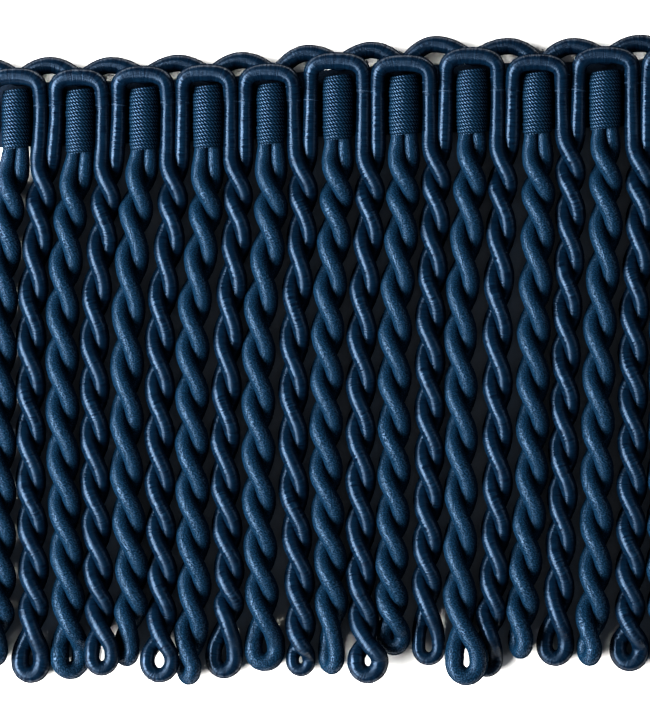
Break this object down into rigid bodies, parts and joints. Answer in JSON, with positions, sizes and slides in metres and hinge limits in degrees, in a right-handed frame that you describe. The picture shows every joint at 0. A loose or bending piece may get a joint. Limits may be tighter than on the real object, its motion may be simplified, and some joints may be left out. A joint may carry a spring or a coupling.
{
  "type": "bullion fringe",
  "caption": "Cut length of navy bullion fringe: corded heading with arches and scallops on a narrow tape, and twisted looped bullions hanging from it, satin and matte in turn.",
  "frame": {"origin": "middle of the heading tape's flat back face", "axes": "+Z out of the fringe's face, +Y towards the heading's scallops, X along the heading; the bullions hang towards -Y"},
  "size_m": [0.1719, 0.1526, 0.01],
  "materials": {
    "gimp": "satin",
    "crepe": "matte",
    "tape": "matte"
  },
  "bodies": {
    "root": {"heading_tape": "tape", "gimp_cord": "gimp", "scallop_cord": "gimp", "crepe_bullion_01": "crepe", "crepe_bullion_02": "crepe", "crepe_bullion_03": "crepe", "crepe_bullion_04": "crepe", "crepe_bullion_05": "crepe", "crepe_bullion_06": "crepe", "crepe_bullion_07": "crepe", "crepe_bullion_08": "crepe", "crepe_bullion_09": "crepe", "crepe_bullion_10": "crepe", "crepe_bullion_11": "crepe"}
  },
  "joints": []
}
